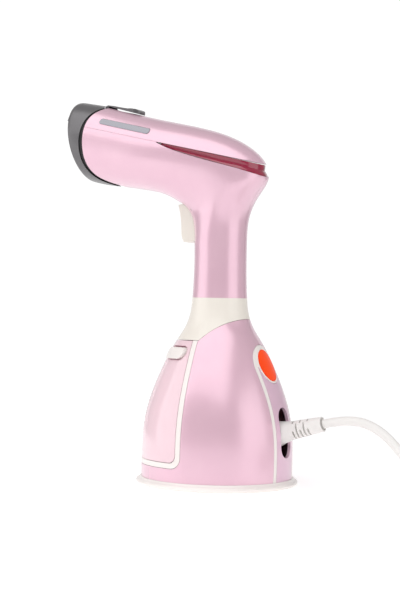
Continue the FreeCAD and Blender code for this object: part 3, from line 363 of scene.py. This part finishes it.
def make_stripe():
    skin = skin_of(["accent_stripe", "handle_shell_left", "handle_shell_right", "head_top_cover"])
    rows = []
    for i in range(STRIPE_STEPS + 1):
        bearing = -STRIPE_REACH + (math.pi + 2 * STRIPE_REACH) * i / STRIPE_STEPS
        row = []
        for j in range(ACROSS_STEPS + 1):
            share = j / ACROSS_STEPS
            place, normal = stripe_point(skin, bearing, 0.02 + 0.96 * share)
            fall = share / CREASE if share < CREASE else (1 - share) / (1 - CREASE)
            width = upper_edge(place.y) - lower_edge(place.y)
            depth = EDGE_SINK + min(GROOVE_DEPTH, width * 0.36) * fall
            row.append((place, place - normal * depth, place - normal * INSERT_THICKNESS))
        rows.append(row)
    points = [front for row in rows for _, front, _ in row] + [back for row in rows for _, _, back in row]
    wide = ACROSS_STEPS + 1
    half = wide * len(rows)
    mesh = bpy.data.meshes.new("stripe_insert")
    mesh.from_pydata(points, [], sheet_faces(len(rows), wide))
    mesh.validate()
    mesh.shade_smooth()
    stripe = bpy.data.objects.new("stripe_insert", mesh)
    scene.collection.objects.link(stripe)
    stripe.data.materials.append(MATERIAL_OF["magenta_gloss"])
    sharp = mesh.attributes.new("sharp_edge", "BOOLEAN", "EDGE")
    crease_column = round(CREASE * ACROSS_STEPS)
    for k, edge in enumerate(mesh.edges):
        a, b = edge.vertices
        same_column = a < half and b < half and a % wide == b % wide
        creased = same_column and a % wide in (0, crease_column, ACROSS_STEPS)
        across_rim = (a < half) != (b < half)
        sharp.data[k].value = creased or across_rim
    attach(stripe, body_of(NODES["accent_stripe"])[0])
    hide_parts("accent_stripe")


make_stripe()


# ---------------------------------------------------------------- floor and light
FLOOR_RADIUS = 1.0
FLOOR_SIDES = 120
FLOOR_GLOW = 0.34
AMBIENT = 0.36
BACKDROP = 1.05
LIT_POINT = Vector((0.0, 0.0, 0.16))


def area_light(name, place, target, size, size_y, power):
    data = bpy.data.lights.new(name, "AREA")
    data.shape = "RECTANGLE"
    data.size = size
    data.size_y = size_y
    data.energy = power
    light = bpy.data.objects.new(name, data)
    way = Vector(target) - Vector(place)
    light.matrix_world = Matrix.Translation(place) @ way.to_track_quat("-Z", "Y").to_matrix().to_4x4()
    scene.collection.objects.link(light)


def make_floor():
    mesh = bpy.data.meshes.new("floor")
    bearings = [2 * math.pi * i / FLOOR_SIDES for i in range(FLOOR_SIDES)]
    rim = [(FLOOR_RADIUS * math.cos(b), FLOOR_RADIUS * math.sin(b), 0.0) for b in bearings]
    mesh.from_pydata(rim, [], [tuple(range(FLOOR_SIDES))])
    floor = bpy.data.objects.new("floor", mesh)
    finish = plastic("floor", "FAFAFA", rough=0.6, spread=0.005, bump=0.0, glow=FLOOR_GLOW)
    finish.node_tree.nodes["Principled BSDF"].inputs["Emission Color"].default_value = (1.0, 1.0, 1.0, 1.0)
    floor.data.materials.append(finish)
    scene.collection.objects.link(floor)


def make_world():
    """Soft light all round, with a plain white backdrop for the camera only."""
    world = bpy.data.worlds.new("studio")
    world.use_nodes = True
    scene.world = world
    tree = world.node_tree
    ambient = tree.nodes["Background"]
    ambient.inputs["Color"].default_value = (1.0, 0.98, 0.985, 1.0)
    ambient.inputs["Strength"].default_value = AMBIENT
    backdrop = tree.nodes.new("ShaderNodeBackground")
    backdrop.inputs["Color"].default_value = (1.0, 1.0, 1.0, 1.0)
    backdrop.inputs["Strength"].default_value = BACKDROP
    seen = tree.nodes.new("ShaderNodeLightPath")
    choose = tree.nodes.new("ShaderNodeMixShader")
    tree.links.new(seen.outputs["Is Camera Ray"], choose.inputs["Fac"])
    tree.links.new(ambient.outputs["Background"], choose.inputs[1])
    tree.links.new(backdrop.outputs["Background"], choose.inputs[2])
    tree.links.new(choose.outputs["Shader"], tree.nodes["World Output"].inputs["Surface"])
    scene.view_settings.view_transform = "Standard"


def make_lights():
    """One large light above and one on each side, placed from where the camera stands."""
    aside = Vector((-math.sin(VIEW_ANGLE), math.cos(VIEW_ANGLE), 0.0))
    near = Vector((math.cos(VIEW_ANGLE), math.sin(VIEW_ANGLE), 0.0))
    above = Vector((0.0, 0.0, 1.0))
    for name, offset, size, size_y, power in (
            ("left_box", near * 0.15 - aside * 1.25, 1.1, 1.6, 6.5),
            ("right_box", near * 0.75 + aside * 1.15, 1.1, 1.6, 6.0),
            ("top_box", above * 1.3 + near * 0.6 - aside * 0.3, 2.2, 1.8, 17.5),
            ("back_box", above * 0.3 - near * 1.6, 2.4, 1.6, 5.0)):
        area_light(name, LIT_POINT + offset, LIT_POINT, size, size_y, power)


make_floor()
make_world()
make_lights()


# ---------------------------------------------------------------- lead finish, its body and the parts it stands in for
LEAD_PIECE.data.materials.append(MATERIAL_OF["lead_white"])
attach(LEAD_PIECE, body_of(NODES["mains_cord"])[0])
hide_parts("mains_cord", "cord_coil")
